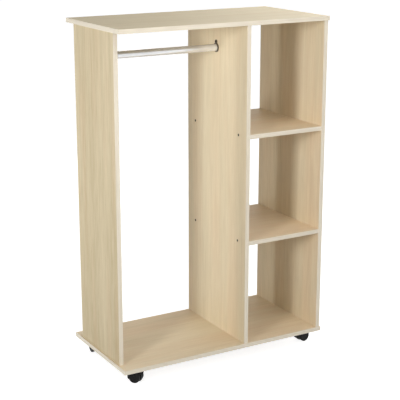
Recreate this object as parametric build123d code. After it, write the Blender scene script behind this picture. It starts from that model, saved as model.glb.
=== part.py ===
from build123d import *
import os

# Open wardrobe on castors: a hanging bay with a rail, and a column of shelves.
# Millimetres. X runs to the right, Y to the back, Z up.
# The origin is on the floor, under the middle of the carcass.

# Carcass
overall_width = 800
overall_depth = 400
overall_height = 1200
board_thickness = 15
edging_thickness = 1
edging_round = 0.5
side_overhang = 5
panel_setback = 2
shelf_setback = 1
left_panel_setback = 50
hanging_bay_width = 450
top_bay_height = 366

# Hanging rail and its end sockets
rail_diameter = 25
rail_wall = 1.2
rail_drop = 93
rail_clearance = 0.15
rail_end_clearance = 0.5
socket_base = 3
socket_flange = 3.5
socket_spigot_wall = 2.2
socket_spigot_length = 14
socket_ear_rise = 21
socket_ear_radius = 6
socket_screw_length = 14
socket_screw_radius = 1.75
socket_screw_head_radius = 3.4
socket_screw_head_height = 1.8

# Stepped furniture screws through a board's face into the end of another board
fixing_inset = 52
screw_length = 50
screw_head_radius = 4.75
screw_head_height = 3
screw_head_sink = 0.8
screw_shoulder_radius = 3.5
screw_thread_radius = 2.5
screw_socket_width = 4
screw_socket_depth = 2.4
screw_tip_room = 2

# Cam fittings under the top board
cam_radius = 7.4
cam_length = 12
cam_drop = 24
cam_slot_width = 1.4
cam_slot_depth = 1.6
cam_cover_radius = 8.5
cam_cover_thickness = 0.8
cam_bolt_thread_radius = 3
cam_bolt_thread_length = 10
cam_bolt_shaft_radius = 2.2
cam_bolt_head_radius = 3
cam_bolt_head_length = 3

# Wooden dowels beside the main fixings
dowel_radius = 4
dowel_length = 30
dowel_board_depth = 10
dowel_spacing = 32
dowel_end_room = 1

# Twin-wheel castors
castor_height = 54
castor_side_inset = 54
castor_front_inset = 64
castor_trail = 19
wheel_diameter = 42
wheel_width = 11
wheel_gap = 0.8
wheel_rim = 3.5
wheel_face = 3.2
wheel_recess = 1.2
wheel_recess_border = 3
wheel_tread_round = 2
wheel_hub_radius = 6.5
wheel_cap_radius = 5
wheel_bore_floor = 2.6
axle_radius = 3
axle_end_room = 0.4
hood_wall = 2
hood_clearance = 1.2
hood_tilt = 25
hood_round = 0.8
web_thickness = 12
web_drop = 15
boss_drop = 7
collar_radius = 8.5
collar_overlap = 1.5
collar_room = 0.4
plate_size = 42
plate_thickness = 2
plate_corner = 5
plate_hole_pitch = 32
plate_screw_radius = 2
plate_screw_length = 13
plate_screw_head_radius = 3.6
plate_screw_head_height = 2
kingpin_radius = 3.5
kingpin_head_radius = 5.5
kingpin_head_height = 1
kingpin_depth = 33
kingpin_tip_room = 0.6
grip_ring_rise = 12
grip_ring_groove = 0.9
grip_ring_thickness = 1.2
grip_ring_proud = 0.9
grip_ring_gap = 1.6

# The way each castor trails at rest, in degrees from +X
castor_places = {
    "front_left": (-1, -1, -55),
    "front_right": (1, -1, 10),
    "back_left": (-1, 1, 85),
    "back_right": (1, 1, 120),
}

# Clearances
hole_clearance = 0.1
seat_clearance = 0.02
running_clearance = 0.05
ring_clearance = 0.3

# Places worked out from the sizes above
half_width = overall_width / 2
half_depth = overall_depth / 2
panel_depth = overall_depth - 2 * panel_setback
left_panel_depth = overall_depth - 2 * left_panel_setback
top_underside = overall_height - board_thickness
bottom_underside = castor_height
bottom_top = castor_height + board_thickness
left_outer = side_overhang - half_width
left_inner = left_outer + board_thickness
centre_left = left_inner + hanging_bay_width
centre_right = centre_left + board_thickness
right_outer = half_width - side_overhang
right_inner = right_outer - board_thickness
upper_shelf_top = top_underside - top_bay_height
upper_shelf_low = upper_shelf_top - board_thickness
lower_bay_height = (upper_shelf_low - bottom_top - board_thickness) / 2
lower_shelf_top = upper_shelf_low - lower_bay_height
lower_shelf_low = lower_shelf_top - board_thickness
rail_height = top_underside - rail_drop
rail_radius = rail_diameter / 2
wheel_radius = wheel_diameter / 2
wheel_inner = web_thickness / 2 + wheel_gap
hood_inner_radius = wheel_radius + hood_clearance
hood_outer_radius = hood_inner_radius + hood_wall
hood_half_width = wheel_inner + wheel_width
hood_top = wheel_radius + hood_outer_radius
plate_low = castor_height - plate_thickness
kingpin_low = plate_low - kingpin_depth
grip_ring_low = kingpin_low + grip_ring_rise

# Each upright: left face, depth, and the way its cam covers look
uprights = {
    "left_panel": (left_outer, left_panel_depth, 1),
    "centre_panel": (centre_left, panel_depth, 1),
    "right_panel": (right_inner, panel_depth, -1),
}
shelf_undersides = {"upper_shelf": upper_shelf_low, "lower_shelf": lower_shelf_low}
ends = (-1, 1)


def block(x_span, y_span, z_span):
    """A box between two values on each axis."""
    sizes = [high - low for low, high in (x_span, y_span, z_span)]
    middle = [(low + high) / 2 for low, high in (x_span, y_span, z_span)]
    return Pos(*middle) * Box(*sizes)


def rod(start, direction, radius, length):
    """A round bar from a point along a direction."""
    place = Plane(origin=start, z_dir=direction)
    return place * Cylinder(radius, length, align=(Align.CENTER, Align.CENTER, Align.MIN))


def along(start, direction, distance):
    """The point at a distance from a start, along a direction."""
    return tuple(a + b * distance for a, b in zip(start, direction))


def group(solids):
    """Separate solids kept side by side in one node."""
    return Compound(children=list(solids))


def strip(x_span, y_span, z_span, length_axis, outward):
    """An edging strip with its two outer long edges rounded."""
    body = block(x_span, y_span, z_span)
    long_edges = body.edges().filter_by(length_axis).sort_by(outward)
    return fillet(long_edges[-2:], edging_round)


def mirrored_span(inner, outer, side):
    """A span on one side of zero, low value first."""
    return tuple(sorted((inner * side, outer * side)))


# Boards and their edging

def lying_core(z_low):
    """The core of the top or bottom board, inside its edging."""
    reach_x = half_width - edging_thickness
    reach_y = half_depth - edging_thickness
    return block((-reach_x, reach_x), (-reach_y, reach_y), (z_low, z_low + board_thickness))


def lying_edging(z_low):
    """Strips on all four edges of the top or bottom board."""
    z_span = (z_low, z_low + board_thickness)
    reach_x = half_width - edging_thickness
    strips = []
    for side in ends:
        y_span = mirrored_span(half_depth - edging_thickness, half_depth, side)
        outward = Axis((0, 0, 0), (0, side, 0))
        strips.append(strip((-half_width, half_width), y_span, z_span, Axis.X, outward))
    for side in ends:
        x_span = mirrored_span(reach_x, half_width, side)
        y_span = (edging_thickness - half_depth, half_depth - edging_thickness)
        outward = Axis((0, 0, 0), (side, 0, 0))
        strips.append(strip(x_span, y_span, z_span, Axis.Y, outward))
    return group(strips)


def upright_core(x_low, depth):
    """The core of an upright panel between the bottom and top boards."""
    reach = depth / 2 - edging_thickness
    return block((x_low, x_low + board_thickness), (-reach, reach), (bottom_top, top_underside))


def upright_edging(x_low, depth):
    """Strips on the front and back edges of an upright panel."""
    strips = []
    for side in ends:
        y_span = mirrored_span(depth / 2 - edging_thickness, depth / 2, side)
        x_span = (x_low, x_low + board_thickness)
        outward = Axis((0, 0, 0), (0, side, 0))
        strips.append(strip(x_span, y_span, (bottom_top, top_underside), Axis.Z, outward))
    return group(strips)


def shelf_core(z_low):
    """The core of a shelf between the centre and right panels."""
    reach = panel_depth / 2 - shelf_setback - edging_thickness
    return block((centre_right, right_inner), (-reach, reach), (z_low, z_low + board_thickness))


def shelf_edging(z_low):
    """Strips on the front and back edges of a shelf."""
    outer = panel_depth / 2 - shelf_setback
    strips = []
    for side in ends:
        y_span = mirrored_span(outer - edging_thickness, outer, side)
        z_span = (z_low, z_low + board_thickness)
        outward = Axis((0, 0, 0), (0, side, 0))
        strips.append(strip((centre_right, right_inner), y_span, z_span, Axis.X, outward))
    return group(strips)


# Stepped screws

def stepped_screw(face_point, direction):
    """A hex-socket screw whose head is sunk in the board's face at face_point."""
    head_start = along(face_point, direction, screw_head_sink)
    head_end = along(head_start, direction, screw_head_height)
    shoulder_length = board_thickness - screw_head_sink - screw_head_height
    thread_length = screw_length - screw_head_height
    head = rod(head_start, direction, screw_head_radius, screw_head_height)
    shoulder = rod(head_end, direction, screw_shoulder_radius, shoulder_length)
    thread = rod(head_end, direction, screw_thread_radius, thread_length)
    hexagon = RegularPolygon(screw_socket_width / 2, 6, major_radius=False)
    key_socket = extrude(Plane(origin=head_start, z_dir=direction) * hexagon, screw_socket_depth)
    return head + shoulder + thread - key_socket


def stepped_hole(face_point, direction):
    """What is drilled for a stepped screw in both boards."""
    head_depth = screw_head_sink + screw_head_height
    pilot_length = screw_length + screw_head_sink + screw_tip_room
    counterbore = rod(face_point, direction, screw_head_radius + hole_clearance, head_depth)
    shoulder = rod(face_point, direction, screw_shoulder_radius + hole_clearance, board_thickness)
    pilot = rod(face_point, direction, screw_thread_radius + seat_clearance, pilot_length)
    return counterbore + shoulder + pilot


def shelf_screw_places(face_x, direction):
    """Face points and direction of the screws through one upright into both shelves."""
    reach = panel_depth / 2 - fixing_inset
    places = []
    for z_low in shelf_undersides.values():
        for side in ends:
            places.append(((face_x, side * reach, z_low + board_thickness / 2), direction))
    return places


def upright_fixings(x_low, depth):
    """X and the Y values of an upright's main fixings, front and back."""
    reach = depth / 2 - fixing_inset
    return x_low + board_thickness / 2, [side * reach for side in ends]


def bottom_screw_places():
    """Face points and direction of the screws up through the bottom board."""
    places = []
    for x_low, depth, _ in uprights.values():
        x, fixings = upright_fixings(x_low, depth)
        for y in fixings:
            places.append(((x, y, bottom_underside), (0, 0, 1)))
    return places


# Cam fittings

def cam_places():
    """X of the cover face, the way it looks, X of the bolt, and Y, for every cam."""
    places = []
    for x_low, depth, looks in uprights.values():
        x, fixings = upright_fixings(x_low, depth)
        face_x = x + looks * board_thickness / 2
        for y in fixings:
            places.append((face_x, looks, x, y))
    return places


def cam(face_x, looks, bolt_x, y):
    """A cam disc with a pocket for the bolt's head and a cross slot to turn it."""
    height = top_underside - cam_drop
    disc = rod((face_x, y, height), (-looks, 0, 0), cam_radius, cam_length)
    reach = cam_bolt_head_radius + hole_clearance
    pocket_z = (height - reach, height + cam_radius)
    pocket = block((bolt_x - reach, bolt_x + reach), (y - reach, y + reach), pocket_z)
    slot_x = tuple(sorted((face_x, face_x - looks * cam_slot_depth)))
    half_slot = cam_slot_width / 2
    arm = cam_radius / 2
    upright_slot = block(slot_x, (y - half_slot, y + half_slot), (height - arm, height + arm))
    level_slot = block(slot_x, (y - arm, y + arm), (height - half_slot, height + half_slot))
    return disc - pocket - upright_slot - level_slot


def cam_pocket(face_x, looks, bolt_x, y):
    """What is drilled in an upright for a cam and for its bolt."""
    height = top_underside - cam_drop
    depth = cam_length + hole_clearance
    disc = rod((face_x, y, height), (-looks, 0, 0), cam_radius + hole_clearance, depth)
    shaft = rod((bolt_x, y, height), (0, 0, 1), cam_bolt_head_radius + hole_clearance, cam_drop)
    return disc + shaft


def cam_bolt(bolt_x, y):
    """A bolt screwed up into the top board, with its head down in the cam."""
    head_low = top_underside - cam_drop - cam_bolt_head_length / 2
    head = rod((bolt_x, y, head_low), (0, 0, 1), cam_bolt_head_radius, cam_bolt_head_length)
    shaft = rod((bolt_x, y, head_low), (0, 0, 1), cam_bolt_shaft_radius, top_underside - head_low)
    thread = rod((bolt_x, y, top_underside), (0, 0, 1), cam_bolt_thread_radius, cam_bolt_thread_length)
    return head + shaft + thread


def cam_bolt_hole(bolt_x, y):
    """What is drilled in the top board for a cam bolt."""
    radius = cam_bolt_thread_radius + seat_clearance
    return rod((bolt_x, y, top_underside), (0, 0, 1), radius, cam_bolt_thread_length + hole_clearance)


def cam_cover(face_x, looks, y):
    """A thin disc stuck over a cam."""
    centre = (face_x, y, top_underside - cam_drop)
    return rod(centre, (looks, 0, 0), cam_cover_radius, cam_cover_thickness)


# Dowels

def dowel_places():
    """Where a dowel meets a joint, and the way from the lying board into the upright."""
    places = []
    for x_low, depth, _ in uprights.values():
        x, fixings = upright_fixings(x_low, depth)
        for y in fixings:
            inward = y - dowel_spacing if y > 0 else y + dowel_spacing
            places.append(((x, inward, top_underside), (0, 0, -1)))
            places.append(((x, inward, bottom_top), (0, 0, 1)))
    return places


def dowel(joint_point, direction):
    """A round pin across the joint between a lying board and an upright."""
    start = along(joint_point, direction, -dowel_board_depth)
    return rod(start, direction, dowel_radius, dowel_length)


def dowel_hole(joint_point, direction):
    """What is drilled for a dowel in both boards."""
    start = along(joint_point, direction, -dowel_board_depth - dowel_end_room)
    return rod(start, direction, dowel_radius + seat_clearance, dowel_length + 2 * dowel_end_room)


# Hanging rail

def clothes_rail():
    """A round tube between the bases of the two sockets."""
    start_x = left_inner + socket_base + rail_end_clearance
    length = centre_left - socket_base - rail_end_clearance - start_x
    outside = rod((start_x, 0, rail_height), (1, 0, 0), rail_radius, length)
    inside = rod((start_x, 0, rail_height), (1, 0, 0), rail_radius - rail_wall, length)
    return outside - inside


def socket_screw_starts(face_x, way):
    """Where the two screws of a socket enter its base: in the ear and in the spigot."""
    base_x = face_x + way * socket_base
    return [(base_x, 0, rail_height + socket_ear_rise), (base_x, 0, rail_height)]


def rail_socket(face_x, way):
    """A flange with an ear above it and a hollow spigot inside the rail's end."""
    direction = (way, 0, 0)
    centre = (face_x, 0, rail_height)
    spigot_radius = rail_radius - rail_wall - rail_clearance
    base = rod(centre, direction, rail_radius + socket_flange, socket_base)
    ear_centre = (face_x, 0, rail_height + socket_ear_rise)
    ear = rod(ear_centre, direction, socket_ear_radius, socket_base)
    base_x = tuple(sorted((face_x, face_x + way * socket_base)))
    neck = block(base_x, (-socket_ear_radius, socket_ear_radius), (rail_height, ear_centre[2]))
    spigot_start = along(centre, direction, socket_base)
    spigot = rod(spigot_start, direction, spigot_radius, socket_spigot_length)
    spigot -= rod(spigot_start, direction, spigot_radius - socket_spigot_wall, socket_spigot_length)
    socket = base + ear + neck + spigot
    for start in socket_screw_starts(face_x, way):
        hole_start = along(start, direction, -socket_base)
        socket -= rod(hole_start, direction, socket_screw_radius + hole_clearance, socket_base)
    return socket


def socket_screw(start, direction):
    """A round-head screw through a socket's base into the upright."""
    back = tuple(-value for value in direction)
    head = rod(start, back, socket_screw_head_radius, socket_screw_head_height)
    rim = head.edges().filter_by(GeomType.CIRCLE).sort_by(Axis(start, back))[-1:]
    head = fillet(rim, socket_screw_head_height / 2)
    return head + rod(start, direction, socket_screw_radius, socket_screw_length)


def socket_screw_hole(start, direction):
    """What is drilled in an upright for a socket screw."""
    length = socket_screw_length + hole_clearance
    return rod(start, direction, socket_screw_radius + seat_clearance, length)


# Castors, made with the kingpin on Z and the wheels trailing towards +X

def axle_bar(radius, half_length):
    """A round bar along the wheels' axis, as long each way from the middle."""
    return rod((castor_trail, -half_length, wheel_radius), (0, 1, 0), radius, 2 * half_length)


def castor_hood():
    """A half-round cover over both wheels, with a web and a bored boss for the kingpin."""
    shell = axle_bar(hood_outer_radius, hood_half_width) - axle_bar(hood_inner_radius, hood_half_width)
    reach = 2 * hood_outer_radius
    below = Box(2 * reach, 2 * reach, reach, align=(Align.CENTER, Align.CENTER, Align.MAX))
    shell -= Pos(castor_trail, 0, wheel_radius) * Rot(0, -hood_tilt, 0) * below
    outer_rims = shell.edges().filter_by(GeomType.CIRCLE)
    outer_rims = [edge for edge in outer_rims if edge.radius > hood_inner_radius + hood_wall / 2]
    shell = fillet(outer_rims, hood_round)
    web_low = wheel_radius - web_drop
    web = axle_bar((hood_inner_radius + hood_outer_radius) / 2, web_thickness / 2)
    web -= Pos(castor_trail, 0, web_low) * below
    boss_top = plate_low - collar_room
    boss_low = wheel_radius - boss_drop
    boss = rod((0, 0, boss_low), (0, 0, 1), web_thickness / 2, boss_top - boss_low)
    collar_low = hood_top - collar_overlap
    collar = rod((0, 0, collar_low), (0, 0, 1), collar_radius, boss_top - collar_low)
    body = shell + web + boss + collar
    body -= axle_bar(axle_radius + seat_clearance, web_thickness)
    bore_low = kingpin_low - kingpin_tip_room
    body -= rod((0, 0, bore_low), (0, 0, 1), kingpin_radius + running_clearance, boss_top - bore_low)
    ring_room_radius = kingpin_radius + grip_ring_proud + ring_clearance
    ring_room_low = grip_ring_low - ring_clearance
    ring_room = grip_ring_thickness + 2 * ring_clearance
    return body - rod((0, 0, ring_room_low), (0, 0, 1), ring_room_radius, ring_room)


def castor_axle():
    """A steel pin through the web, into the hubs of both wheels."""
    return axle_bar(axle_radius, wheel_inner + wheel_width - wheel_bore_floor - axle_end_room)


def castor_wheel(side):
    """A wheel with a rim, a recessed face with a raised cap, and a blind hub."""
    outward = (0, side, 0)
    centre = (castor_trail, side * wheel_inner, wheel_radius)
    face = along(centre, outward, wheel_width)
    body = rod(centre, outward, wheel_radius, wheel_width)
    body = fillet(body.edges().filter_by(GeomType.CIRCLE), wheel_tread_round)
    hollow_depth = wheel_width - wheel_face
    hollow = rod(centre, outward, wheel_radius - wheel_rim, hollow_depth)
    hollow -= rod(centre, outward, wheel_hub_radius, hollow_depth)
    recess_start = along(face, outward, -wheel_recess)
    recess_radius = wheel_radius - wheel_tread_round - wheel_recess_border
    recess = rod(recess_start, outward, recess_radius, wheel_recess)
    recess -= rod(recess_start, outward, wheel_cap_radius, wheel_recess)
    bore = rod(centre, outward, axle_radius + running_clearance, wheel_width - wheel_bore_floor)
    return body - hollow - recess - bore


def kingpin():
    """A headed pin riveted in the plate, grooved for the grip ring."""
    head_low = castor_height - kingpin_head_height
    pin = rod((0, 0, kingpin_low), (0, 0, 1), kingpin_radius, head_low - kingpin_low)
    head = rod((0, 0, head_low), (0, 0, 1), kingpin_head_radius, kingpin_head_height)
    groove_radius = kingpin_radius - grip_ring_groove
    groove = rod((0, 0, grip_ring_low), (0, 0, 1), kingpin_radius, grip_ring_thickness)
    groove -= rod((0, 0, grip_ring_low), (0, 0, 1), groove_radius, grip_ring_thickness)
    return pin + head - groove


def grip_ring():
    """A split ring in the kingpin's groove, which keeps the hood from dropping off."""
    place = (0, 0, grip_ring_low + seat_clearance)
    thickness = grip_ring_thickness - 2 * seat_clearance
    ring_outer = kingpin_radius + grip_ring_proud
    ring = rod(place, (0, 0, 1), ring_outer, thickness)
    ring -= rod(place, (0, 0, 1), kingpin_radius - grip_ring_groove + seat_clearance, thickness)
    z_span = (grip_ring_low, grip_ring_low + grip_ring_thickness)
    return ring - block((-ring_outer, 0), (-grip_ring_gap / 2, grip_ring_gap / 2), z_span)


def plate_corners():
    """The four screw places of a castor plate."""
    reach = plate_hole_pitch / 2
    return [(side_x * reach, side_y * reach) for side_x in ends for side_y in ends]


def castor_plate():
    """A square steel plate with four screw holes and a hole for the kingpin."""
    outline = RectangleRounded(plate_size, plate_size, plate_corner)
    plate = Pos(0, 0, plate_low) * extrude(outline, plate_thickness)
    for x, y in plate_corners():
        plate -= rod((x, y, plate_low), (0, 0, 1), plate_screw_radius + hole_clearance, plate_thickness)
    plate -= rod((0, 0, plate_low), (0, 0, 1), kingpin_radius + seat_clearance, plate_thickness)
    head_low = castor_height - kingpin_head_height
    head_radius = kingpin_head_radius + seat_clearance
    return plate - rod((0, 0, head_low), (0, 0, 1), head_radius, kingpin_head_height)


def plate_screw(x, y):
    """A round-head screw up through the plate into the bottom board."""
    head_low = plate_low - plate_screw_head_height
    head = rod((x, y, head_low), (0, 0, 1), plate_screw_head_radius, plate_screw_head_height)
    rim = head.edges().filter_by(GeomType.CIRCLE).sort_by(Axis.Z)[:1]
    head = fillet(rim, plate_screw_head_height / 2)
    return head + rod((x, y, plate_low), (0, 0, 1), plate_screw_radius, plate_screw_length)


def castor_centre(side_x, side_y):
    """X and Y of a castor's kingpin."""
    return side_x * (half_width - castor_side_inset), side_y * (half_depth - castor_front_inset)


# Lists of holes

centre_screws = shelf_screw_places(centre_left, (1, 0, 0))
right_screws = shelf_screw_places(right_outer, (-1, 0, 0))
bottom_screws = bottom_screw_places()
cams = cam_places()
dowels = dowel_places()
sockets = {"left_rail_socket": (left_inner, 1), "right_rail_socket": (centre_left, -1)}
socket_screws = []
for face_x, way in sockets.values():
    for start in socket_screw_starts(face_x, way):
        socket_screws.append((start, (-way, 0, 0)))
plate_screws = []
for side_x, side_y, _ in castor_places.values():
    centre_x, centre_y = castor_centre(side_x, side_y)
    for x, y in plate_corners():
        plate_screws.append((centre_x + x, centre_y + y))

shelf_holes = [stepped_hole(*place) for place in centre_screws + right_screws]
bottom_holes = [stepped_hole(*place) for place in bottom_screws]
dowel_holes = [dowel_hole(*place) for place in dowels]
cam_holes = [cam_pocket(*place) for place in cams]
bolt_holes = [cam_bolt_hole(bolt_x, y) for _, _, bolt_x, y in cams]
rail_holes = [socket_screw_hole(*place) for place in socket_screws]
plate_holes = []
for x, y in plate_screws:
    radius = plate_screw_radius + seat_clearance
    depth = plate_screw_length + hole_clearance
    plate_holes.append(rod((x, y, plate_low), (0, 0, 1), radius, depth))


# The nodes

nodes = {}
nodes["top_board"] = lying_core(top_underside) - (bolt_holes + dowel_holes)
nodes["top_board_edging"] = lying_edging(top_underside)
nodes["bottom_board"] = lying_core(bottom_underside) - (bottom_holes + dowel_holes + plate_holes)
nodes["bottom_board_edging"] = lying_edging(bottom_underside)
upright_holes = shelf_holes + bottom_holes + dowel_holes + cam_holes + rail_holes
for name, (x_low, depth, _) in uprights.items():
    nodes[name] = upright_core(x_low, depth) - upright_holes
    nodes[name + "_edging"] = upright_edging(x_low, depth)
for name, z_low in shelf_undersides.items():
    nodes[name] = shelf_core(z_low) - shelf_holes
    nodes[name + "_edging"] = shelf_edging(z_low)

nodes["clothes_rail"] = clothes_rail()
for name, (face_x, way) in sockets.items():
    nodes[name] = rail_socket(face_x, way)
nodes["rail_socket_screws"] = group(socket_screw(*place) for place in socket_screws)

nodes["centre_panel_screws"] = group(stepped_screw(*place) for place in centre_screws)
nodes["right_panel_screws"] = group(stepped_screw(*place) for place in right_screws)
nodes["bottom_board_screws"] = group(stepped_screw(*place) for place in bottom_screws)
nodes["cam_discs"] = group(cam(*place) for place in cams)
nodes["cam_bolts"] = group(cam_bolt(bolt_x, y) for _, _, bolt_x, y in cams)
nodes["cam_covers"] = group(cam_cover(face_x, looks, y) for face_x, looks, _, y in cams)
nodes["wooden_dowels"] = group(dowel(*place) for place in dowels)
nodes["castor_plate_screws"] = group(plate_screw(x, y) for x, y in plate_screws)

for corner, (side_x, side_y, trail_angle) in castor_places.items():
    foot = Pos(*castor_centre(side_x, side_y), 0)
    turned = foot * Rot(0, 0, trail_angle)
    nodes[corner + "_castor_plate"] = foot * castor_plate()
    nodes[corner + "_kingpin"] = foot * kingpin()
    nodes[corner + "_grip_ring"] = foot * grip_ring()
    nodes[corner + "_castor_hood"] = turned * castor_hood()
    nodes[corner + "_axle"] = turned * castor_axle()
    nodes[corner + "_left_wheel"] = turned * castor_wheel(1)
    nodes[corner + "_right_wheel"] = turned * castor_wheel(-1)

os.makedirs("parts", exist_ok=True)
for name, shape in nodes.items():
    export_step(shape, f"parts/{name}.step")
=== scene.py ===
import math

import bpy
import numpy as np
from mathutils import Euler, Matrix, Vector


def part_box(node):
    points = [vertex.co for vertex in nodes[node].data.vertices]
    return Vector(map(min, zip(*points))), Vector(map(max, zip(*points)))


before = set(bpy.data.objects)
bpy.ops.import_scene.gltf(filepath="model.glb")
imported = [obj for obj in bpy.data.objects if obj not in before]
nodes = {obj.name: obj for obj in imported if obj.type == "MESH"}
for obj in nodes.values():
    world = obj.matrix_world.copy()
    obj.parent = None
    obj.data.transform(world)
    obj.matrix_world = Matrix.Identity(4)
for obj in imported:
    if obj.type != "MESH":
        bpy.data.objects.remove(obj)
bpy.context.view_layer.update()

# Axes, as indices of a place or a scale
ALONG_X = 0
ALONG_Z = 2

# Pieces: the boards by the way they stand, and the corners that the castors stand at
upright_boards = ("left_panel", "centre_panel", "right_panel")
lying_boards = ("top_board", "bottom_board", "upper_shelf", "lower_shelf")
corners = ("front_left", "front_right", "back_left", "back_right")

# Finishes: colours are as they look on a screen, from the palest to the darkest places,
# roughness runs from the smoothest to the roughest places, and relief is a depth in metres

# Printed wood of the boards: its layers add up to a sum that goes from pale to dark over the
# spread to each side of the middle, its hue strays so far to each side of the board's own, with
# noise that is shifted so many times further, and its pores fade in over a range of their noise
straw = ((238, 225, 197), (192, 175, 138))
rose = ((242, 223, 193), (198, 168, 130))
print_roughness = (0.52, 0.66)
print_relief = 0.00006
print_middle = 0.51
print_spread = 0.32
hue_spread = 0.25
hue_shift = 3.0
pore_range = (0.60, 0.72)

# Shares of the printed layers in the tone, and of two of them in the relief, where pores dip
bands_share = 0.26
streaks_share = 0.30
flecks_share = 0.27
lines_share = 0.17
pores_share = 0.07
line_height = 0.5
pore_height = -0.5

# Each board's print: how much darker it is than the middle tone, how far its hue is from straw
# to rose, and how strongly its grain shows. The darkness and hue are partly real differences between
# sheets and partly painted shade and light, set for how each board's faces are lit
print_tones_and_painted_shade = {
    "left_panel": (0.53, 0.0, 1.2),
    "centre_panel": (-0.28, 0.3, 0.8),
    "right_panel": (-0.19, 0.4, 0.95),
    "top_board": (0.15, 0.0, 0.6),
    "bottom_board": (-0.05, 0.5, 0.7),
    "upper_shelf": (0.04, 0.8, 0.6),
    "lower_shelf": (-0.14, 0.9, 0.6),
}

# Edging strips
edging_cream = ((232, 223, 205), (222, 211, 190))
edging_roughness = (0.38, 0.48)
edging_relief = 0.00002
edging_lines_share = 0.85
edging_specks_share = 0.15

# Chrome of the rail
chrome = ((240, 242, 244), (230, 232, 235))
chrome_roughness = (0.18, 0.25)
chrome_relief = 0.000004

# Plated metal of the sockets, the dark screws and the other fittings
socket_grey = ((120, 110, 96), (80, 70, 58))
socket_roughness = (0.29, 0.36)
bronze = ((48, 39, 28), (27, 22, 16))
bronze_roughness = (0.34, 0.50)
zinc_grey = ((206, 208, 210), (182, 184, 184))
zinc_roughness = (0.30, 0.46)
plating_relief = 0.00002

# Cover discs over the cams
cover_cream = ((224, 208, 180), (214, 197, 167))
cover_roughness = (0.50, 0.60)
cover_relief = 0.00003

# Beech of the dowels, whose flecks fade in over a range of their noise
beech = ((222, 194, 150), (186, 146, 98))
beech_roughness = (0.62, 0.75)
beech_relief = 0.00008
beech_range = (0.3, 0.8)
beech_lines_share = 0.8
beech_flecks_share = 0.5
fleck_range = (0.60, 0.70)

# Black nylon of the castors
nylon_black = ((20, 20, 21), (12, 12, 13))
hood_roughness = (0.40, 0.52)
wheel_roughness = (0.34, 0.46)
nylon_relief = 0.00005
flow_share = 0.6
sparks_share = 0.4

# Noise: nearly all of it lies in the wide range, and most of it in the close range
full_range = (0.0, 1.0)
wide_range = (0.3, 0.7)
close_range = (0.35, 0.65)
noise_roughness = 0.55
equal_share = 0.5

# Coordinates that are left as they are
unscaled = (1.0, 1.0, 1.0)
unshifted = (0.0, 0.0, 0.0)

# Curve from a screen's values to light: a straight start, then a power
screen_white = 255.0
curve_start = 0.04045
curve_slope = 12.92
curve_lift = 0.055
curve_power = 2.4
opaque = 1.0

# Camera: metres and degrees, with the way it looks turned from +Y towards +X, and dipped from level
camera_place = (-1.897, -3.270, 1.597)
camera_turn = 30.18
camera_dip = 15.37
camera_lens = 99.9
camera_reach = 200.0
sensor_width = 36.0
level_tilt = 90.0

# Softboxes: place, point aimed at, width and height in metres, spread in degrees, power in watts
rack_middle = (0.0, 0.0, 0.8)
right_bay = (0.6, 0.1, 1.0)
key_place = (-2.9, -1.7, 1.5)
open_spread = 180.0
grid_spread = 60.0
softboxes = {
    "key": (key_place, rack_middle, 0.6, 1.0, open_spread, 31.0),
    "key_grid": (key_place, right_bay, 0.6, 1.0, grid_spread, 4.1),
    "left_strip": ((-1.5, 0.85, 0.6), rack_middle, 0.14, 1.2, open_spread, 7.4),
    "front_overhead": ((0.4, -1.2, 2.6), rack_middle, 1.6, 1.6, open_spread, 19.2),
    "back_overhead": ((0.9, 0.3, 1.8), rack_middle, 0.8, 0.8, open_spread, 4.5),
    "front_fill": ((-0.6, -3.2, 1.5), rack_middle, 1.4, 1.4, open_spread, 34.0),
    "right_fill": ((2.6, 0.4, 1.2), rack_middle, 1.2, 1.4, open_spread, 31.0),
    "back_fill": ((0.6, 3.2, 0.9), rack_middle, 1.6, 0.8, open_spread, 20.0),
    "back_right": ((2.6, 3.4, 1.6), rack_middle, 1.2, 0.8, open_spread, 9.0),
}

# Room: its strength as a light, and where it is seen
white = (1.0, 1.0, 1.0, 1.0)
room_strength = 0.08
seen_strength = 1.0

# Floor: it glows a little less near the object, where its shading shows the shadow, and reaches
# its full glow between two distances in metres
floor_reach = 60.0
floor_steps = 12
floor_drop = 0.0004
floor_bounce = (0.6, 0.6, 0.6, 1.0)
floor_shade = (0.45, 0.45, 0.45, 1.0)
floor_glow = (0.84, 1.0)
floor_distance = (1.2, 4.0)


# Shader helpers

def linear(screen_colour):
    """A screen colour of three values up to 255, as the linear colour that shaders use."""
    share = np.array(screen_colour) / screen_white
    low = share / curve_slope
    high = ((share + curve_lift) / (1.0 + curve_lift)) ** curve_power
    return (*np.where(share <= curve_start, low, high).tolist(), opaque)


def empty_tree(owner):
    """The node tree of a material or a world, switched on and emptied."""
    owner.use_nodes = True
    owner.node_tree.nodes.clear()
    return owner.node_tree


def start_material(name, metallic, specular):
    """A material with one principled shader; returns it with its tree and shader."""
    material = bpy.data.materials.new(name)
    tree = empty_tree(material)
    output = tree.nodes.new("ShaderNodeOutputMaterial")
    shader = tree.nodes.new("ShaderNodeBsdfPrincipled")
    shader.inputs["Metallic"].default_value = metallic
    shader.inputs["Specular IOR Level"].default_value = specular
    tree.links.new(shader.outputs["BSDF"], output.inputs["Surface"])
    return material, tree, shader


def placed(tree, scale=unscaled, shift=unshifted):
    """Object coordinates, scaled on each axis and then shifted."""
    coordinates = tree.nodes.new("ShaderNodeTexCoord")
    mapping = tree.nodes.new("ShaderNodeMapping")
    mapping.inputs["Scale"].default_value = scale
    mapping.inputs["Location"].default_value = shift
    tree.links.new(coordinates.outputs["Object"], mapping.inputs["Vector"])
    return mapping.outputs["Vector"]


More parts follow.
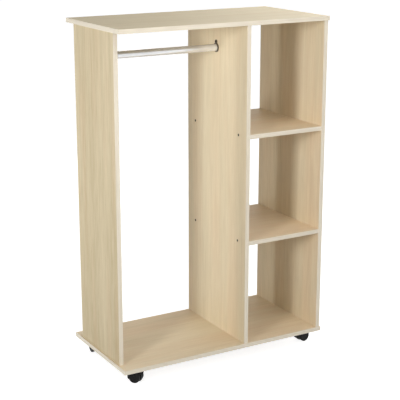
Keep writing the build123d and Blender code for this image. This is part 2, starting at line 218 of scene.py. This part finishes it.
def noise(tree, vector, detail, waver=0.0):
    """Fractal noise between 0 and 1 with one cell to each unit of the vector, which may waver."""
    node = tree.nodes.new("ShaderNodeTexNoise")
    node.inputs["Scale"].default_value = 1.0
    node.inputs["Detail"].default_value = detail
    node.inputs["Roughness"].default_value = noise_roughness
    node.inputs["Distortion"].default_value = waver
    tree.links.new(vector, node.inputs["Vector"])
    return node.outputs["Fac"]


def even_noise(tree, cells, detail):
    """Noise that is alike in every direction, with so many cells to a metre."""
    return noise(tree, placed(tree, (cells, cells, cells)), detail)


def drawn_noise(tree, axis, along, across, detail, shift, waver=0.0):
    """Noise with so many cells to a metre along one axis, and so many across it."""
    scale = [across, across, across]
    scale[axis] = along
    return noise(tree, placed(tree, scale, shift), detail, waver)


def remap(tree, value, old_range, new_range):
    """A value's old range stretched to a new range, and clamped to it."""
    old_low, old_high = old_range
    new_low, new_high = new_range
    node = tree.nodes.new("ShaderNodeMapRange")
    node.inputs["From Min"].default_value = old_low
    node.inputs["From Max"].default_value = old_high
    node.inputs["To Min"].default_value = new_low
    node.inputs["To Max"].default_value = new_high
    tree.links.new(value, node.inputs["Value"])
    return node.outputs["Result"]


def weighted_sum(tree, terms):
    """The sum of values, each times its weight."""
    total = None
    for value, weight in terms:
        node = tree.nodes.new("ShaderNodeMath")
        node.operation = "MULTIPLY_ADD"
        tree.links.new(value, node.inputs[0])
        node.inputs[1].default_value = weight
        node.inputs[2].default_value = 0.0
        if total is not None:
            tree.links.new(total, node.inputs[2])
        total = node.outputs["Value"]
    return total


def colour_mix(tree, share):
    """A node whose colour runs from its input A to its input B as the share grows from 0 to 1."""
    node = tree.nodes.new("ShaderNodeMix")
    node.data_type = "RGBA"
    tree.links.new(share, node.inputs["Factor"])
    return node


def toned(tree, tone, colours):
    """A colour that runs from a pale screen colour to a dark one as the tone grows."""
    pale, dark = colours
    node = colour_mix(tree, tone)
    node.inputs["A"].default_value = linear(pale)
    node.inputs["B"].default_value = linear(dark)
    return node.outputs["Result"]


def blended(tree, share, first, second):
    """A colour that runs from the first node's colour to the second's."""
    node = colour_mix(tree, share)
    tree.links.new(first, node.inputs["A"])
    tree.links.new(second, node.inputs["B"])
    return node.outputs["Result"]


def dress(tree, shader, colour, roughness, height, relief):
    """Joins colour, roughness and relief to a shader; a height of 1 stands for the whole relief."""
    tree.links.new(colour, shader.inputs["Base Color"])
    tree.links.new(roughness, shader.inputs["Roughness"])
    bump = tree.nodes.new("ShaderNodeBump")
    bump.inputs["Strength"].default_value = 1.0
    bump.inputs["Distance"].default_value = relief
    tree.links.new(height, bump.inputs["Height"])
    tree.links.new(bump.outputs["Normal"], shader.inputs["Normal"])


# Finishes

def board_print(name, grain, heart, shade, rose_share, contrast):
    """Melamine face printed as pale wood: broad bands, wavering streaks, flecks, fine lines and pores.

    The layers add up to a tone from pale to dark, and slow bands turn the hue from straw to rose.
    """
    material, tree, shader = start_material(name, metallic=0.0, specular=0.18)
    bands = drawn_noise(tree, grain, along=0.7, across=9.0, detail=1.5, shift=heart)
    hues = drawn_noise(tree, grain, along=1.6, across=17.0, detail=1.0, shift=heart * hue_shift)
    streaks = drawn_noise(tree, grain, along=2.6, across=44.0, detail=2.0, shift=heart, waver=0.7)
    flecks = drawn_noise(tree, grain, along=8.0, across=130.0, detail=2.0, shift=heart, waver=0.9)
    lines = drawn_noise(tree, grain, along=14.0, across=420.0, detail=2.0, shift=heart, waver=0.5)
    pores = drawn_noise(tree, grain, along=60.0, across=1300.0, detail=1.0, shift=heart)
    pore_marks = remap(tree, pores, pore_range, full_range)
    layers = weighted_sum(tree, (
        (bands, bands_share),
        (streaks, streaks_share),
        (flecks, flecks_share),
        (lines, lines_share),
        (pore_marks, pores_share),
    ))
    spread = print_spread / contrast
    # A board's shade and rose share shift its whole print: partly real differences between sheets, partly
    # painted shade and light for how its faces are lit
    middle = print_middle - spread * shade
    tone = remap(tree, layers, (middle - spread, middle + spread), full_range)
    hue = remap(tree, hues, close_range, (rose_share - hue_spread, rose_share + hue_spread))
    colour = blended(tree, hue, toned(tree, tone, straw), toned(tree, tone, rose))
    roughness = remap(tree, lines, wide_range, print_roughness)
    height = weighted_sum(tree, ((lines, line_height), (pore_marks, pore_height)))
    dress(tree, shader, colour, roughness, height, print_relief)
    return material


def edging_strip(name, thickness):
    """A smooth pale strip with faint printed lines, side by side across the board's thickness."""
    material, tree, shader = start_material(name, metallic=0.0, specular=0.4)
    lines = drawn_noise(tree, thickness, along=300.0, across=3.0, detail=3.0, shift=(2.0, 5.0, 1.0))
    specks = even_noise(tree, cells=700.0, detail=2.0)
    layers = weighted_sum(tree, ((lines, edging_lines_share), (specks, edging_specks_share)))
    colour = toned(tree, remap(tree, layers, close_range, full_range), edging_cream)
    roughness = remap(tree, specks, wide_range, edging_roughness)
    dress(tree, shader, colour, roughness, specks, edging_relief)
    return material


def chrome_tube():
    """Polished chrome with the faint drawing lines of a tube."""
    material, tree, shader = start_material("chrome_tube", metallic=0.65, specular=0.5)
    drawn = drawn_noise(tree, ALONG_X, along=6.0, across=900.0, detail=3.0, shift=(1.0, 2.0, 3.0))
    haze = even_noise(tree, cells=60.0, detail=3.0)
    colour = toned(tree, remap(tree, haze, wide_range, full_range), chrome)
    gloss = weighted_sum(tree, ((drawn, equal_share), (haze, equal_share)))
    roughness = remap(tree, gloss, wide_range, chrome_roughness)
    dress(tree, shader, colour, roughness, drawn, chrome_relief)
    return material


def plated_metal(name, colours, roughness_range):
    """Plated metal with a cloudy tone and a fine tumbled surface."""
    material, tree, shader = start_material(name, metallic=1.0, specular=0.5)
    cloud = even_noise(tree, cells=140.0, detail=4.0)
    tumble = even_noise(tree, cells=1400.0, detail=2.0)
    colour = toned(tree, remap(tree, cloud, wide_range, full_range), colours)
    gloss = weighted_sum(tree, ((cloud, equal_share), (tumble, equal_share)))
    roughness = remap(tree, gloss, wide_range, roughness_range)
    dress(tree, shader, colour, roughness, tumble, plating_relief)
    return material


def cover_disc():
    """Matt stick-on disc in the colour of the boards."""
    material, tree, shader = start_material("cover_disc", metallic=0.0, specular=0.3)
    lines = drawn_noise(tree, ALONG_Z, along=20.0, across=400.0, detail=3.0, shift=(4.0, 1.0, 6.0))
    colour = toned(tree, remap(tree, lines, wide_range, full_range), cover_cream)
    roughness = remap(tree, lines, wide_range, cover_roughness)
    dress(tree, shader, colour, roughness, lines, cover_relief)
    return material


def raw_beech():
    """Raw turned beech with its short dark flecks."""
    material, tree, shader = start_material("raw_beech", metallic=0.0, specular=0.2)
    lines = drawn_noise(tree, ALONG_Z, along=20.0, across=600.0, detail=3.0, shift=(7.0, 3.0, 2.0))
    flecks = drawn_noise(tree, ALONG_Z, along=160.0, across=1100.0, detail=1.0, shift=(1.0, 9.0, 4.0))
    fleck_marks = remap(tree, flecks, fleck_range, full_range)
    layers = weighted_sum(tree, ((lines, beech_lines_share), (fleck_marks, beech_flecks_share)))
    colour = toned(tree, remap(tree, layers, beech_range, full_range), beech)
    roughness = remap(tree, lines, wide_range, beech_roughness)
    dress(tree, shader, colour, roughness, lines, beech_relief)
    return material


def moulded_nylon(name, roughness_range, spark_cells):
    """Black moulded nylon with a fine spark-eroded grain and slight flow marks."""
    material, tree, shader = start_material(name, metallic=0.0, specular=0.14)
    flow = even_noise(tree, cells=70.0, detail=3.0)
    sparks = even_noise(tree, cells=spark_cells, detail=2.0)
    layers = weighted_sum(tree, ((flow, flow_share), (sparks, sparks_share)))
    colour = toned(tree, remap(tree, layers, close_range, full_range), nylon_black)
    roughness = remap(tree, layers, close_range, roughness_range)
    dress(tree, shader, colour, roughness, sparks, nylon_relief)
    return material


def finish_node(name, material):
    """Gives a CAD node its finish in every material slot that it has."""
    mesh = nodes[name].data
    for index in range(len(mesh.materials)):
        mesh.materials[index] = material


def finish_boards():
    """Each board has its own stretch of the printed wood, and all share the edging's finishes."""
    standing_edging = edging_strip("standing_edging", thickness=ALONG_X)
    lying_edging = edging_strip("lying_edging", thickness=ALONG_Z)
    for boards, grain, edging in (
        (upright_boards, ALONG_Z, standing_edging),
        (lying_boards, ALONG_X, lying_edging),
    ):
        for name in boards:
            low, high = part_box(name)
            heart = (low + high) / 2
            finish_node(name, board_print(name + "_print", grain, heart, *print_tones_and_painted_shade[name]))
            finish_node(name + "_edging", edging)


def finish_fittings():
    """Rail, sockets, screws, cam fittings, dowels and the castors' metal."""
    socket_metal = plated_metal("socket_metal", socket_grey, socket_roughness)
    dark_screw = plated_metal("dark_screw", bronze, bronze_roughness)
    zinc = plated_metal("zinc", zinc_grey, zinc_roughness)
    finish_node("clothes_rail", chrome_tube())
    for name in ("left_rail_socket", "right_rail_socket"):
        finish_node(name, socket_metal)
    for name in ("rail_socket_screws", "centre_panel_screws", "right_panel_screws", "bottom_board_screws"):
        finish_node(name, dark_screw)
    for name in ("cam_discs", "cam_bolts", "castor_plate_screws"):
        finish_node(name, zinc)
    finish_node("cam_covers", cover_disc())
    finish_node("wooden_dowels", raw_beech())
    for corner in corners:
        for piece in ("castor_plate", "kingpin", "grip_ring", "axle"):
            finish_node(f"{corner}_{piece}", zinc)


def finish_castors():
    """Hoods with a coarser moulded grain, wheels a little smoother."""
    hood = moulded_nylon("hood_nylon", hood_roughness, spark_cells=1500.0)
    wheel = moulded_nylon("wheel_nylon", wheel_roughness, spark_cells=2200.0)
    for corner in corners:
        finish_node(f"{corner}_castor_hood", hood)
        for side in ("left", "right"):
            finish_node(f"{corner}_{side}_wheel", wheel)


# Stage

def grid_mesh(name, points):
    """A mesh of quads over an array of points with two parameters, rows by columns by XYZ."""
    rows, columns, _ = points.shape
    index = np.arange(rows * columns).reshape(rows, columns)
    quads = np.stack((index[:-1, :-1], index[:-1, 1:], index[1:, 1:], index[1:, :-1]), axis=-1)
    mesh = bpy.data.meshes.new(name)
    mesh.from_pydata(points.reshape(-1, 3).tolist(), [], quads.reshape(-1, 4).tolist())
    mesh.update()
    return mesh


def white_when_seen(tree):
    """1 where a ray from the camera, a mirror or a glass meets the surface, else 0."""
    path = tree.nodes.new("ShaderNodeLightPath")
    rays = ("Is Camera Ray", "Is Glossy Ray", "Is Transmission Ray")
    total = weighted_sum(tree, [(path.outputs[ray], 1.0) for ray in rays])
    return remap(tree, total, full_range, full_range)


def plain_shading(tree, colour):
    """A matt shader of one colour."""
    shader = tree.nodes.new("ShaderNodeBsdfDiffuse")
    shader.inputs["Color"].default_value = colour
    return shader.outputs["BSDF"]


def floor_finish():
    """White where it is seen, with a share of plain shading that keeps the shadow."""
    material = bpy.data.materials.new("studio_floor")
    tree = empty_tree(material)
    output = tree.nodes.new("ShaderNodeOutputMaterial")
    glow = tree.nodes.new("ShaderNodeEmission")
    glow.inputs["Color"].default_value = white
    distance = tree.nodes.new("ShaderNodeVectorMath")
    distance.operation = "LENGTH"
    tree.links.new(placed(tree), distance.inputs[0])
    strength = remap(tree, distance.outputs["Value"], floor_distance, floor_glow)
    tree.links.new(strength, glow.inputs["Strength"])
    seen = tree.nodes.new("ShaderNodeAddShader")
    tree.links.new(glow.outputs["Emission"], seen.inputs[0])
    tree.links.new(plain_shading(tree, floor_shade), seen.inputs[1])
    pick = tree.nodes.new("ShaderNodeMixShader")
    tree.links.new(white_when_seen(tree), pick.inputs["Fac"])
    tree.links.new(plain_shading(tree, floor_bounce), pick.inputs[1])
    tree.links.new(seen.outputs["Shader"], pick.inputs[2])
    tree.links.new(pick.outputs["Shader"], output.inputs["Surface"])
    return material


def add_floor():
    """A flat square grid: x and y are the two parameters, and z is constant."""
    reach = np.linspace(-floor_reach, floor_reach, floor_steps)
    y, x = np.meshgrid(reach, reach, indexing="ij")
    points = np.stack((x, y, np.full_like(x, -floor_drop)), axis=-1)
    floor = bpy.data.objects.new("studio_floor", grid_mesh("studio_floor", points))
    floor.data.materials.append(floor_finish())
    bpy.context.scene.collection.objects.link(floor)


def add_room():
    """An even white room: dimmer as a light than as a background."""
    world = bpy.data.worlds.new("white_room")
    tree = empty_tree(world)
    output = tree.nodes.new("ShaderNodeOutputWorld")
    background = tree.nodes.new("ShaderNodeBackground")
    background.inputs["Color"].default_value = white
    strength = remap(tree, white_when_seen(tree), full_range, (room_strength, seen_strength))
    tree.links.new(strength, background.inputs["Strength"])
    tree.links.new(background.outputs["Background"], output.inputs["Surface"])
    bpy.context.scene.world = world


def add_softbox(name, place, aim, width, height, spread, power):
    """A rectangular soft light, turned to a point, that the camera itself doesn't see."""
    lamp = bpy.data.lights.new(name, "AREA")
    lamp.shape = "RECTANGLE"
    lamp.size = width
    lamp.size_y = height
    lamp.spread = math.radians(spread)
    lamp.energy = power
    softbox = bpy.data.objects.new(name, lamp)
    softbox.location = place
    way = Vector(aim) - Vector(place)
    softbox.rotation_euler = way.to_track_quat("-Z", "Y").to_euler()
    softbox.visible_camera = False
    bpy.context.scene.collection.objects.link(softbox)


def add_camera():
    """The camera at the photograph's place, looking down a little and to the right."""
    data = bpy.data.cameras.new("photo_camera")
    data.lens = camera_lens
    data.sensor_width = sensor_width
    data.clip_end = camera_reach
    camera = bpy.data.objects.new("photo_camera", data)
    camera.location = camera_place
    tilt = math.radians(level_tilt - camera_dip)
    camera.rotation_euler = Euler((tilt, 0.0, -math.radians(camera_turn)))
    bpy.context.scene.collection.objects.link(camera)
    bpy.context.scene.camera = camera


finish_boards()
finish_fittings()
finish_castors()
add_floor()
add_room()
for name, values in softboxes.items():
    add_softbox(name, *values)
add_camera()
bpy.context.scene.view_settings.view_transform = "Standard"
